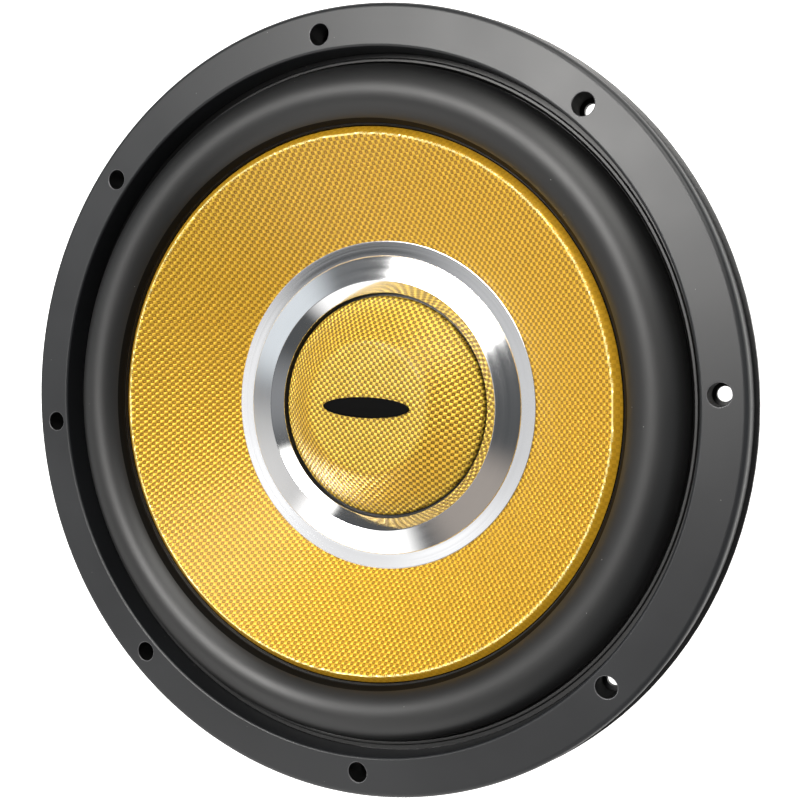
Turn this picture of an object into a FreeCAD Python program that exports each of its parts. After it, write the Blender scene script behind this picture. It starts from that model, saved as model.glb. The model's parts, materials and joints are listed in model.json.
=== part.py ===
"""Twelve-inch car subwoofer driver, lying on its magnet with the cone facing up.

Millimetres. +Z runs along the axis, out of the front. The origin is the centre of the mounting plane,
which is the rear face of the basket's flange. +X follows the badge's long axis.
Each sub-part is one STEP file in parts/.
"""
import FreeCAD, Part
import math
import os

os.makedirs("parts", exist_ok=True)
Vector = FreeCAD.Vector
axis_z = Vector(0, 0, 1)
centre = Vector(0, 0, 0)

# Driving dimensions
flange_radius = 159.8         # steel flange, 320 mm across
trim_radius = 158.2           # moulded ring on the flange
sheet_steel = 1.8             # basket
trim_front = 13.7             # front face of the trim ring above the mounting plane
trim_inner_radius = 141.5
bolt_circle_radius = 148.2
bolt_count = 8
bolt_phase = 4.2              # degrees from +X to the first hole
bolt_hole_radius = 2.75       # in the steel flange
trim_hole_radius = 4.2        # room for the screw's head
roll_radius = 12.0            # half roll of the surround
roll_centre_radius = 125.3
surround_thickness = 1.0
landing_top = sheet_steel + surround_thickness
cone_thickness = 1.2
cone_lip = (112.9, 5.2)       # radius, height of the cone's turned-down edge
cone_ridge = (109.8, 8.1)
cone_neck = (32.7, -53.6)
former_inner_radius = 32.2
former_outer_radius = 32.6
coil_outer_radius = 34.4
coil_length = 24.0
pole_radius = 31.6
gap_outer_radius = 35.2
vent_radius = 12.0
spoke_count = 6
spoke_phase = 30.0
window_half_angle = 22.0
window_top = -15.0
window_bottom = -55.0
window_corner = 6.0
spider_shelf = -62.0
basket_floor = -73.2
plate_thickness = 8.0
plate_radius = 72.0
magnet_radius = 75.0
magnet_inner_radius = 42.0
magnet_thickness = 20.0
boot_wall = 2.5
boot_floor = 2.0
rivet_circle_radius = 58.0
rivet_radius = 2.5
rivet_grip = 5.0              # depth of each rivet in the front plate
spread = 8.5                  # each terminal stands this far from the middle of its block

plate_top = basket_floor - sheet_steel
plate_bottom = plate_top - plate_thickness
magnet_middle = plate_bottom - magnet_thickness
yoke_top = magnet_middle - magnet_thickness
yoke_bottom = yoke_top - plate_thickness
boot_bottom = yoke_bottom - boot_floor
cone_slope = (cone_ridge[1] - cone_neck[1]) / (cone_ridge[0] - cone_neck[0])


# Outlines
def at(radius, height):
    """A point of a section: distance from the axis and height."""
    return Vector(radius, 0, height)


def rounded_wire(corners):
    """Closed outline through corners (radius, height, bend), each bend an arc tangent to both sides."""
    points = [at(c[0], c[1]) for c in corners]
    bends = [c[2] if len(c) > 2 else 0.0 for c in corners]
    starts, ends, arcs = [], [], []
    for i, point in enumerate(points):
        back = (points[i - 1] - point).normalize()
        ahead = (points[(i + 1) % len(points)] - point).normalize()
        if bends[i] <= 0:
            starts.append(point)
            ends.append(point)
            arcs.append(None)
            continue
        half = back.getAngle(ahead) / 2
        reach = bends[i] / math.tan(half)
        middle = point + (back + ahead).normalize() * (bends[i] / math.sin(half) - bends[i])
        starts.append(point + back * reach)
        ends.append(point + ahead * reach)
        arcs.append(middle)
    edges = []
    for i in range(len(points)):
        if arcs[i] is not None:
            edges.append(Part.Arc(starts[i], arcs[i], ends[i]).toShape())
        following = starts[(i + 1) % len(points)]
        if ends[i].distanceToPoint(following) > 1e-6:
            edges.append(Part.LineSegment(ends[i], following).toShape())
    return Part.Wire(edges)


def sheet_corners(path, thickness):
    """Corners of a bent sheet that lies behind its front path of (radius, height, inside bend)."""
    front, rear = [], []
    for i, corner in enumerate(path):
        steps = []
        for a, b in ((i - 1, i), (i, i + 1)):
            if a >= 0 and b < len(path):
                step = (path[b][0] - path[a][0], path[b][1] - path[a][1])
                length = math.hypot(*step)
                steps.append((step[0] / length, step[1] / length))
        normals = [(-s[1], s[0]) for s in steps]
        bend = corner[2] if len(corner) > 2 else 0.0
        total = (sum(n[0] for n in normals), sum(n[1] for n in normals))
        square = total[0] ** 2 + total[1] ** 2
        shift = thickness * len(normals) / square
        turn = 0.0
        if len(steps) == 2:
            turn = steps[0][0] * steps[1][1] - steps[0][1] * steps[1][0]
        front_bend = bend + thickness if turn > 0 and bend else bend
        rear_bend = bend + thickness if turn < 0 and bend else bend
        front.append((corner[0], corner[1], front_bend))
        rear.append((corner[0] + total[0] * shift, corner[1] + total[1] * shift, rear_bend))
    return front + rear[::-1]


def turned(corners, angle=360.0):
    """The outline turned about the axis."""
    return Part.Face(rounded_wire(corners)).revolve(centre, axis_z, angle)


def tube(inner, outer, bottom, top):
    """A plain ring between two radii."""
    blank = Part.makeCylinder(outer, top - bottom, Vector(0, 0, bottom))
    return blank.cut(Part.makeCylinder(inner, top - bottom, Vector(0, 0, bottom)))


def spun(shape, degrees):
    """A copy turned about the axis."""
    copy = shape.copy()
    copy.rotate(centre, axis_z, degrees)
    return copy


def around(shape, count, phase):
    """Equal copies of shape about the axis."""
    return [spun(shape, phase + i * 360.0 / count) for i in range(count)]


def bolt_holes(radius, bottom, top):
    """Pins that cut the mounting holes."""
    pin = Part.makeCylinder(radius, top - bottom, Vector(bolt_circle_radius, 0, bottom))
    return Part.makeCompound(around(pin, bolt_count, bolt_phase))


def save(name, shape):
    """Writes one node."""
    if not shape.isValid():
        print("not valid:", name)
    shape.exportStep("parts/" + name + ".step")
    print(f"{name:22s} {len(shape.Solids):3d} solids {shape.Volume / 1000:9.2f} cm3")


# Basket: pressed steel with six windows, a shelf for the spider and a floor on the motor
basket_front = [
    (flange_radius, sheet_steel),
    (139.4, sheet_steel, 2.0),
    (136.2, -9.0, 3.0),
    (93.0, -57.6, 3.0),
    (91.0, spider_shelf, 1.5),
    (77.0, spider_shelf, 2.5),
    (72.0, basket_floor, 2.5),
    (40.0, basket_floor),
]
spoke_top = basket_front[2]
spoke_foot = basket_front[3]
spoke_run = math.hypot(spoke_top[0] - spoke_foot[0], spoke_top[1] - spoke_foot[1])
down_slope = ((spoke_foot[0] - spoke_top[0]) / spoke_run, (spoke_foot[1] - spoke_top[1]) / spoke_run)
outward = (-down_slope[1], down_slope[0])
seat_radius = (spoke_top[0] + spoke_foot[0]) / 2 + outward[0] * sheet_steel
seat_height = (spoke_top[1] + spoke_foot[1]) / 2 + outward[1] * sheet_steel


def on_spoke(shape):
    """Puts a shape drawn flat, with X across, Y up the slope and Z outwards, on the spoke at -Y."""
    placed = shape.copy()
    placed.transformShape(FreeCAD.Matrix(
        1, 0, 0, 0,
        0, down_slope[0], -outward[0], -seat_radius,
        0, -down_slope[1], outward[1], seat_height,
        0, 0, 0, 1,
    ))
    return placed


def flat_box(width, height, depth, x, y, z):
    """A box centred on x and y, from z upwards."""
    return Part.makeBox(width, height, depth, Vector(x - width / 2, y - height / 2, z))


def make_window():
    """The cutter of one window, with round corners, centred on +X."""
    near, far = 80.0, 150.0
    span = [(near, window_bottom), (far, window_bottom), (far, window_top), (near, window_top)]
    wedge = turned(span, 2 * window_half_angle)
    wedge.rotate(centre, axis_z, -window_half_angle)
    corners = [e for e in wedge.Edges if abs(e.Length - (far - near)) < 0.01]
    return wedge.makeFillet(window_corner, corners)


lug_slot_width = 25.0         # opening in the spoke behind the terminals
lug_slot_height = 7.0
block_rivet_x = 14.5
block_rivet_y = -7.5
block_hole_radius = 1.6


def block_rivet_hole(side):
    """Cutter of one rivet hole, through the spoke and the terminal block."""
    return Part.makeCylinder(block_hole_radius, 23, Vector(side * block_rivet_x, block_rivet_y, -8))


def make_rivet_pins(radius, bottom, top):
    pin = Part.makeCylinder(radius, top - bottom, Vector(rivet_circle_radius, 0, bottom))
    return around(pin, spoke_count, spoke_phase)


def make_basket():
    shell = turned(sheet_corners(basket_front, sheet_steel))
    shell = shell.cut(Part.makeCompound(around(make_window(), spoke_count, 0)))
    shell = shell.cut(bolt_holes(bolt_hole_radius, -1, sheet_steel + 1))
    shell = shell.cut(Part.makeCompound(make_rivet_pins(rivet_radius, plate_top - 1, basket_floor + 1)))
    shell = shell.cut(on_spoke(flat_box(lug_slot_width, lug_slot_height, 12, 0, 0, -8)))
    for side in (-1, 1):
        shell = shell.cut(on_spoke(block_rivet_hole(side)))
    return shell


def make_trim_ring():
    """Moulded ring that clamps the surround's edge and hides the flange."""
    ring = turned([
        (trim_radius, sheet_steel, 0.5),
        (trim_radius, trim_front, 2.2),
        (trim_inner_radius, trim_front, 1.0),
        (trim_inner_radius, landing_top),
        (146.0, landing_top),
        (146.0, sheet_steel),
    ])
    return ring.cut(bolt_holes(trim_hole_radius, 0, trim_front + 1))


def make_surround():
    """Half-roll rubber surround with its outer landing under the trim ring."""
    flange_top = landing_top + 0.6
    dip = math.sqrt(roll_radius ** 2 - (flange_top - landing_top) ** 2)
    inner = roll_radius - surround_thickness
    start = at(roll_centre_radius + roll_radius, landing_top)
    crown = at(roll_centre_radius, landing_top + roll_radius)
    stop = at(roll_centre_radius - dip, flange_top)
    under_start = at(roll_centre_radius - inner, landing_top)
    under_crown = at(roll_centre_radius, landing_top + inner)
    under_stop = at(roll_centre_radius + inner, landing_top)
    tail = at(107.5, flange_top)
    under_tail = at(107.5, flange_top - surround_thickness)
    under_flange = at(under_start.x, flange_top - surround_thickness)
    foot = at(under_stop.x, sheet_steel + 0.01)
    heel = at(145.8, sheet_steel + 0.01)
    heel_top = at(145.8, landing_top - 0.01)
    bead = at(start.x + 0.2, landing_top - 0.01)
    points = [tail, under_tail, under_flange, under_start]
    edges = [Part.Arc(start, crown, stop).toShape(), Part.LineSegment(stop, tail).toShape()]
    edges += [Part.LineSegment(a, b).toShape() for a, b in zip(points, points[1:])]
    edges.append(Part.Arc(under_start, under_crown, under_stop).toShape())
    points = [under_stop, foot, heel, heel_top, bead, start]
    edges += [Part.LineSegment(a, b).toShape() for a, b in zip(points, points[1:])]
    return Part.Face(Part.Wire(edges)).revolve(centre, axis_z, 360)


def cone_front_height(radius):
    """Height of the cone's straight front at a radius."""
    return cone_ridge[1] - (cone_ridge[0] - radius) * cone_slope


def make_cone():
    neck = [cone_neck + (1.5,), (cone_neck[0], cone_neck[1] - 4)]
    return turned(sheet_corners([cone_lip, cone_ridge + (1.5,)] + neck, cone_thickness))


def make_bezel_ring():
    """Plated ring on the cone, with a seat for the dust cap and a skirt down to the cone."""
    skirt_outer = 48.6
    skirt_inner = 47.2
    return turned([
        (70.8, -22.3, 0.3),
        (64.2, -23.1),
        (53.8, -21.1, 0.5),
        (48.9, -24.8),
        (48.9, -28.0),
        (44.0, -28.0),
        (44.0, -29.2),
        (skirt_inner, -29.2),
        (skirt_inner, cone_front_height(skirt_inner)),
        (skirt_outer, cone_front_height(skirt_outer)),
        (skirt_outer, -28.6),
        (54.1, -22.7),
        (64.2, -24.6),
        (68.9, cone_front_height(68.9)),
        (70.8, cone_front_height(70.8)),
    ])


cap_edge = (47.6, -25.7)
cap_plateau = (28.4, -10.5)
cap_thickness = 0.7


def make_dust_cap():
    """Raised cap: a short skirt, a bulging flank and a flat top."""
    edge = at(*cap_edge)
    plateau = at(*cap_plateau)
    flank_middle = (edge + plateau) * 0.5 + at(0.5, 0.7)
    top = at(0, cap_plateau[1])
    inner_top = at(0, cap_plateau[1] - cap_thickness)
    inner_plateau = at(cap_plateau[0] - 0.3, cap_plateau[1] - cap_thickness)
    inner_edge = at(cap_edge[0] - 0.9, cap_edge[1] - 0.3)
    inner_middle = flank_middle - at(0.45, 0.6)
    skirt_inner = at(inner_edge.x, -28.0)
    skirt = at(cap_edge[0], -28.0)
    points = [skirt, edge]
    edges = [Part.LineSegment(*points).toShape(), Part.Arc(edge, flank_middle, plateau).toShape()]
    points = [plateau, top, inner_top, inner_plateau]
    edges += [Part.LineSegment(a, b).toShape() for a, b in zip(points, points[1:])]
    edges.append(Part.Arc(inner_plateau, inner_middle, inner_edge).toShape())
    points = [inner_edge, skirt_inner, skirt]
    edges += [Part.LineSegment(a, b).toShape() for a, b in zip(points, points[1:])]
    return Part.Face(Part.Wire(edges)).revolve(centre, axis_z, 360)


def make_badge():
    """Blank oval plate on the cap."""
    oval = Part.Ellipse(Vector(0, 0, cap_plateau[1]), 20.25, 4.4)
    plate = Part.Face(Part.Wire(oval.toShape())).extrude(Vector(0, 0, 0.8))
    return plate


# Motor
coil_middle = (plate_top + plate_bottom) / 2
coil_top = coil_middle + coil_length / 2
coil_bottom = coil_middle - coil_length / 2


def make_top_plate():
    plate = tube(gap_outer_radius, plate_radius, plate_bottom, plate_top)
    return plate.cut(Part.makeCompound(make_rivet_pins(rivet_radius, plate_top - rivet_grip, plate_top + 1)))


seat_of_screen = 14.0
screen_thickness = 1.0


def make_yoke():
    """Rear plate and vented pole in one turned piece, with a seat for the vent screen."""
    pole_top = plate_top + 2.0
    return turned([
        (vent_radius, yoke_bottom + screen_thickness),
        (seat_of_screen, yoke_bottom + screen_thickness),
        (seat_of_screen, yoke_bottom),
        (plate_radius, yoke_bottom, 1.0),
        (plate_radius, yoke_top, 1.0),
        (pole_radius, yoke_top, 2.0),
        (pole_radius, pole_top, 1.0),
        (vent_radius, pole_top, 3.0),
    ])


def make_vent_screen():
    """Perforated disc that sits in the yoke's seat, with rings of round holes."""
    hole_radius = 1.2
    hole_pitch = 3.6
    disc = Part.makeCylinder(seat_of_screen - 0.1, screen_thickness - 0.1, Vector(0, 0, yoke_bottom + 0.05))
    middle_hole = Part.makeCylinder(hole_radius, 2, Vector(0, 0, yoke_bottom - 0.5))
    holes = [middle_hole]
    for ring_number in (1, 2, 3):
        hole = middle_hole.copy()
        hole.translate(Vector(hole_pitch * ring_number, 0, 0))
        holes += around(hole, 6 * ring_number, 0)
    return disc.cut(Part.makeCompound(holes))


def make_boot():
    """Rubber cover that wraps the magnets and the edge of the rear plate."""
    inner = magnet_radius + 0.1
    outer = inner + boot_wall
    lip = 56.0
    return turned([
        (inner, boot_bottom + boot_floor),
        (lip, boot_bottom + boot_floor),
        (lip, boot_bottom, 0.8),
        (outer, boot_bottom, 3.0),
        (outer, plate_bottom, 0.8),
        (inner, plate_bottom),
    ])


def make_rivets():
    """Six rivets that hold the basket's floor to the front plate."""
    head = Part.makeCylinder(4.5, 1.6, Vector(rivet_circle_radius, 0, basket_floor))
    head = head.makeFillet(1.2, [e for e in head.Edges if e.BoundBox.ZMin > basket_floor + 1])
    length = sheet_steel + rivet_grip
    shank = Part.makeCylinder(rivet_radius, length, Vector(rivet_circle_radius, 0, basket_floor - length))
    return Part.makeCompound(around(head.fuse(shank), spoke_count, spoke_phase))


def make_spider():
    """Corrugated cloth disc: waves of round crests between the former and the shelf."""
    thickness = 0.6
    waves = 6
    first, last = 38.0, 76.0
    level = spider_shelf + 1.2
    height = 1.8
    step = (last - first) / (2 * waves)
    path = [(89.5, spider_shelf + thickness), (last + 1.0, spider_shelf + thickness, 0.8)]
    for i in range(2 * waves):
        radius = last - step * (i + 0.5)
        path.append((radius, level + (height if i % 2 == 0 else -height), 1.1))
    path += [(36.2, level, 0.8), (33.6, level + 0.3, 0.6), (33.6, level + 3.0)]
    return turned(sheet_corners(path, thickness))


# Terminals on the spoke at -Y
block_width = 36.0
block_height = 22.0
block_depth = 13.0
block_root = 3.0              # the block is drawn this deep into the spoke, then cut back to it
well = 10.4
tab = 9.6
tab_depth = 7.5
tab_bottom = 9.0
contact_side = 8.5
contact_thickness = 0.8
contact_top = 3.8
lug_width = 4.0
lug_reach = 7.0               # the solder lug ends this far behind the seat
slit_width = 4.2
slit_height = 1.0
entry_radius = 1.6
entry_level = 6.2


def make_terminal_block():
    """Moulded block with a well, a lug slit and a wire entry for each terminal."""
    block = flat_box(block_width, block_height, block_depth + block_root, 0, 0, -block_root)
    uprights = [e for e in block.Edges if abs(e.Length - block_depth - block_root) < 0.01]
    block = on_spoke(block.makeFillet(2.0, uprights))
    rear_side = sheet_corners(basket_front, sheet_steel)[len(basket_front):][::-1]
    top, foot = [(c[0], c[1]) for c in rear_side[2:4]]
    core = turned([(0.001, top[1]), top, foot, (0.001, foot[1])])
    block = block.cut(core)
    for side in (-1, 1):
        well_bottom = contact_top - contact_thickness
        block = block.cut(on_spoke(flat_box(well, well, 20, side * spread, 0, well_bottom)))
        block = block.cut(on_spoke(flat_box(slit_width, slit_height, 12, side * spread, 0, -5)))
        entry = Part.makeCylinder(entry_radius, 8, Vector(side * 13, 0, entry_level), Vector(side, 0, 0))
        block = block.cut(on_spoke(entry))
        block = block.cut(on_spoke(block_rivet_hole(side)))
    return block


def make_contact(side):
    """Nickel plate in the well, with its solder lug through the basket."""
    bottom = contact_top - contact_thickness
    plate = flat_box(contact_side, contact_side, contact_thickness, side * spread, 0, bottom)
    lug = flat_box(lug_width, contact_thickness, lug_reach + bottom, side * spread, 0, -lug_reach)
    return on_spoke(plate.fuse(lug))


def make_tab(side):
    """Square push tab with a dished top."""
    dish_radius = 14.0
    dish_depth = 0.8
    top = tab_bottom + tab_depth
    body = flat_box(tab, tab, tab_depth, side * spread, 0, tab_bottom)
    body = body.makeFillet(0.8, [e for e in body.Edges if e.BoundBox.ZMax > tab_bottom + 1])
    dish = Part.makeSphere(dish_radius, Vector(side * spread, 0, top + dish_radius - dish_depth))
    return on_spoke(body.cut(dish))


def make_tab_spring(side):
    """Folded leaf spring between the contact and the tab."""
    leaf_thickness = 0.25
    leaf_width = 4.0
    strip = [(3.5, 8.85), (-3.3, 7.6, 0.3), (3.3, 5.5, 0.3), (-3.5, 4.2)]
    section = Part.Face(rounded_wire(sheet_corners(strip, leaf_thickness)))
    leaf = section.extrude(Vector(0, leaf_width, 0))
    leaf.translate(Vector(side * spread, -leaf_width / 2, 0))
    return on_spoke(leaf)


def make_block_rivets():
    """Two rivets, each a head on the block, a shank and a tail inside the basket."""
    rivets = []
    for side in (-1, 1):
        tail_top = -2.8
        shank_length = block_depth - tail_top
        shank = Part.makeCylinder(1.5, shank_length, Vector(side * block_rivet_x, block_rivet_y, tail_top))
        head = Part.makeCylinder(2.6, 0.9, Vector(side * block_rivet_x, block_rivet_y, block_depth))
        tail = Part.makeCylinder(2.4, 0.8, Vector(side * block_rivet_x, block_rivet_y, tail_top - 0.8))
        rivets.append(on_spoke(head.fuse(shank).fuse(tail)))
    return Part.makeCompound(rivets)


# Tinsel leads, each in its own upright plane through the axis
lead_radius = 0.9
solder_gap = 0.06
lug_end = (
    seat_radius - outward[0] * (lug_reach + solder_gap),
    seat_height - outward[1] * (lug_reach + solder_gap),
)
lead_angle = math.degrees(math.atan2(spread, lug_end[0]))
eyelet_radius = 56.0
cone_back = (cone_slope / math.hypot(1, cone_slope), -1 / math.hypot(1, cone_slope))
eyelet_length = 2.0
eyelet_standoff = cone_thickness + 0.1
eyelet_foot = (
    eyelet_radius + cone_back[0] * eyelet_standoff,
    cone_front_height(eyelet_radius) + cone_back[1] * eyelet_standoff,
)
lead_standoff = eyelet_length + 0.35
lead_end = (eyelet_foot[0] + cone_back[0] * lead_standoff, eyelet_foot[1] + cone_back[1] * lead_standoff)
lead_route = [
    (math.hypot(lug_end[0], spread), lug_end[1]),
    (105.6, -25.0),
    (96.5, -27.2),
    (88.0, -37.5),
    (78.5, -44.3),
    (69.0, -46.3),
    (62.4, -43.2),
    lead_end,
]


def lead_path(route):
    """Straight runs joined by tangent arcs, each as large as its two runs allow."""
    points = [at(*p) for p in route]
    edges = []
    last = points[0]
    for before, corner, after in zip(points, points[1:], points[2:]):
        back = before - corner
        ahead = after - corner
        reach = 0.45 * min(back.Length, ahead.Length)
        half = back.getAngle(ahead) / 2
        radius = reach * math.tan(half)
        back.normalize()
        ahead.normalize()
        start = corner + back * reach
        stop = corner + ahead * reach
        middle = corner + (back + ahead).normalize() * (radius / math.sin(half) - radius)
        print(f"lead bend radius {radius:.1f}")
        edges.append(Part.LineSegment(last, start).toShape())
        edges.append(Part.Arc(start, middle, stop).toShape())
        last = stop
    edges.append(Part.LineSegment(last, points[-1]).toShape())
    return Part.Wire(edges)


def make_lead(side):
    path = lead_path(lead_route)
    direction = at(*lead_route[1]) - at(*lead_route[0])
    section = Part.Wire(Part.Circle(at(*lead_route[0]), direction, lead_radius).toShape())
    lead = path.makePipeShell([section], True, True)
    print(f"lead volume over section times length "
          f"{lead.Volume / (math.pi * lead_radius ** 2 * path.Length):.4f}")
    return spun(lead, -90 + side * lead_angle)


def make_eyelets():
    direction = at(*cone_back)
    eyelet = Part.makeCylinder(2.2, eyelet_length, at(*eyelet_foot), direction)
    return Part.makeCompound([spun(eyelet, -90 + side * lead_angle) for side in (-1, 1)])


save("basket", make_basket())
save("trim_ring", make_trim_ring())
save("surround", make_surround())
save("cone", make_cone())
save("bezel_ring", make_bezel_ring())
save("dust_cap", make_dust_cap())
save("badge", make_badge())
save("voice_coil_former", tube(former_inner_radius, former_outer_radius, coil_bottom - 2, cone_neck[1] + 4))
save("voice_coil", tube(former_outer_radius, coil_outer_radius, coil_bottom, coil_top))
save("spider", make_spider())
save("top_plate", make_top_plate())
save("magnet_front", tube(magnet_inner_radius, magnet_radius, magnet_middle, plate_bottom))
save("magnet_rear", tube(magnet_inner_radius, magnet_radius, yoke_top, magnet_middle))
save("yoke", make_yoke())
save("vent_screen", make_vent_screen())
save("magnet_boot", make_boot())
save("basket_rivets", make_rivets())
save("terminal_block", make_terminal_block())
save("terminal_rivets", make_block_rivets())
save("lead_eyelets", make_eyelets())
for colour, side in (("red", 1), ("black", -1)):
    save("contact_" + colour, make_contact(side))
    save("push_tab_" + colour, make_tab(side))
    save("tab_spring_" + colour, make_tab_spring(side))
    save("tinsel_lead_" + colour, make_lead(side))
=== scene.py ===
import json
import math

import bmesh
import bpy
import numpy as np
from mathutils import Matrix, Vector
from mathutils.geometry import delaunay_2d_cdt


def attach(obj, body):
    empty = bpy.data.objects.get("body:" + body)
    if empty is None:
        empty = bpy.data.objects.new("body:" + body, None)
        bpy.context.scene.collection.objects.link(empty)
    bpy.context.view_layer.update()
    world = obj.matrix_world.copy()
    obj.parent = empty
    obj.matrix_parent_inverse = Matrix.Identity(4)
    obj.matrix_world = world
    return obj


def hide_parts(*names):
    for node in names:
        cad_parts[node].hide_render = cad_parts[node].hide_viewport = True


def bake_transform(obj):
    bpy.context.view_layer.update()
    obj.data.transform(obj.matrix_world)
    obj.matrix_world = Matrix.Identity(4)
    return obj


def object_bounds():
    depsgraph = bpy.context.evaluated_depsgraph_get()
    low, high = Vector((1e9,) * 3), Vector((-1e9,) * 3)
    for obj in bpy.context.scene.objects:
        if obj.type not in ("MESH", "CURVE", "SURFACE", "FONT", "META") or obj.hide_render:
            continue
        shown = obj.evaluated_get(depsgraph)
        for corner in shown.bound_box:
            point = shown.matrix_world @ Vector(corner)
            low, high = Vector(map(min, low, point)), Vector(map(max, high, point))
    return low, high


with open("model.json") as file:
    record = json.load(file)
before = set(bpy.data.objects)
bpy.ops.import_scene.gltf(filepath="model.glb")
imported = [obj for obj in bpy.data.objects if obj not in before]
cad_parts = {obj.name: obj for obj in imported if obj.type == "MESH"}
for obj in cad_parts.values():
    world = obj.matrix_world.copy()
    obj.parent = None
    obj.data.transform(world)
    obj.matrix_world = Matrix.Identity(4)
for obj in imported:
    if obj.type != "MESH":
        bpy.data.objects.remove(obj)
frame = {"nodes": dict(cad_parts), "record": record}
cadLow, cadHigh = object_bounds()
nodes = frame["nodes"]
mm = 0.001    # shapes below are worked out in millimetres and go into meshes in metres
print("frame loaded:", len(nodes), "nodes")


# Points along a section through corners (radius, height, bend).
# Each bend is an arc, centre + bend * (cos a, sin a), with a running evenly between its two tangent points.
def roundedOutline(corners, arcSteps=8, closed=False):
    count = len(corners)
    pts = np.array([c[:2] for c in corners], float)
    out = []
    for i in range(count):
        bend = corners[i][2] if len(corners[i]) > 2 else 0.0
        atEnd = not closed and i in (0, count - 1)
        if bend <= 0 or atEnd:
            out.append(pts[i][None])
            continue
        back = pts[i - 1] - pts[i]
        ahead = pts[(i + 1) % count] - pts[i]
        back /= np.linalg.norm(back)
        ahead /= np.linalg.norm(ahead)
        half = math.acos(np.clip(back @ ahead, -1, 1)) / 2
        middle = back + ahead
        centre = pts[i] + middle / np.linalg.norm(middle) * bend / math.sin(half)
        start = pts[i] + back * bend / math.tan(half) - centre
        stop = pts[i] + ahead * bend / math.tan(half) - centre
        a0 = math.atan2(start[1], start[0])
        turn = (math.atan2(stop[1], stop[0]) - a0 + math.pi) % (2 * math.pi) - math.pi
        a = a0 + turn * np.linspace(0, 1, arcSteps + 1)
        out.append(centre + bend * np.stack([np.cos(a), np.sin(a)], 1))
    return heldOutline(np.concatenate(out), closed)


# Adds a point just inside both ends of each long straight run, so that smooth shading stays flat between.
def heldOutline(pts, closed, hold=0.12):
    ahead = np.roll(pts, -1, axis=0)
    run = ahead - pts
    length = np.hypot(run[:, 0], run[:, 1])
    if not closed:
        length[-1] = 0
    share = np.where(length > 4 * hold, hold / np.maximum(length, 1e-9), 0)[:, None]
    rows = np.stack([pts, pts + run * share, ahead - run * share], 1)
    keep = np.stack([share[:, 0] >= 0, share[:, 0] > 0, share[:, 0] > 0], 1)
    return rows[keep]


# Closed section of a bent sheet: the front path, then the same path moved behind it by the thickness.
# Each rear corner is the front corner + thickness * (n1 + n2) / (1 + n1.n2), n being the sides' normals.
def sheetOutline(path, thickness, arcSteps=6):
    pts = np.array([c[:2] for c in path], float)
    bends = np.array([c[2] if len(c) > 2 else 0.0 for c in path])
    step = np.diff(pts, axis=0)
    step /= np.linalg.norm(step, axis=1)[:, None]
    normal = np.stack([-step[:, 1], step[:, 0]], 1)
    before = np.concatenate([normal[:1], normal])
    after = np.concatenate([normal, normal[-1:]])
    shift = (before + after) / (1 + (before * after).sum(1))[:, None]
    rear = pts + thickness * shift
    turn = np.zeros(len(pts))
    turn[1:-1] = step[:-1, 0] * step[1:, 1] - step[:-1, 1] * step[1:, 0]
    grow = np.where(bends > 0, thickness, 0)
    frontBend = bends + np.where(turn > 0, grow, 0)
    rearBend = bends + np.where(turn < 0, grow, 0)
    front = [(*p, b) for p, b in zip(pts, frontBend)]
    behind = [(*p, b) for p, b in zip(rear, rearBend)]
    return roundedOutline(front + behind[::-1], arcSteps, closed=True)


# Quads of a rows x cols grid of points, wrapping round where asked.
def gridFaces(rows, cols, closeRows=False, closeCols=True):
    i = np.arange(rows if closeRows else rows - 1)[:, None]
    j = np.arange(cols if closeCols else cols - 1)[None]
    i2 = (i + 1) % rows
    j2 = (j + 1) % cols
    return np.stack([i * cols + j, i * cols + j2, i2 * cols + j2, i2 * cols + j], -1).reshape(-1, 4)


# Surface of revolution: x = r cos a, y = r sin a, z = h, for each (r, h) of the section.
# Its outside is on the right of the section's direction.
def lathePatch(section, steps=360, closed=False):
    a = np.arange(steps) * 2 * np.pi / steps
    r, h = section[:, :1], section[:, 1:]
    pts = np.stack([r * np.cos(a), r * np.sin(a), h + 0 * a], -1).reshape(-1, 3)
    return pts, gridFaces(len(section), steps, closeRows=closed)


# A closed section turned about the axis, put in the direction that makes its outside face outwards.
def turnedPatch(section, steps=360):
    r, h = section[:, 0], section[:, 1]
    area = (r * np.roll(h, -1) - np.roll(r, -1) * h).sum()
    return lathePatch(section if area > 0 else section[::-1], steps, closed=True)


# Points of a circle, counter-clockwise.
def circle(radius, steps, cx=0.0, cy=0.0):
    a = np.arange(steps) * 2 * np.pi / steps
    return np.stack([cx + radius * np.cos(a), cy + radius * np.sin(a)], 1)


# Triangles between closed loops of (x, y), with extra inside points.
# Delaunay triangulation with the loops as edges; a triangle stays where keep(its middle) is true.
def flatPatch(loops, keep, inside=None):
    pts = np.concatenate(list(loops) + ([inside] if inside is not None else []))
    edges = []
    first = 0
    for loop in loops:
        index = first + np.arange(len(loop))
        edges += np.stack([index, np.roll(index, -1)], 1).tolist()
        first += len(loop)
    made = delaunay_2d_cdt([Vector(p) for p in pts], edges, [], 0, 1e-5)
    flat = np.array([tuple(v) for v in made[0]])
    tris = np.array(made[2])
    middle = flat[tris].mean(1)
    tris = tris[keep(middle[:, 0], middle[:, 1])]
    a, b, c = flat[tris[:, 0]], flat[tris[:, 1]], flat[tris[:, 2]]
    turn = (b[:, 0] - a[:, 0]) * (c[:, 1] - a[:, 1]) - (b[:, 1] - a[:, 1]) * (c[:, 0] - a[:, 0])
    tris[turn < 0] = tris[turn < 0][:, ::-1]
    return flat, tris


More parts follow.
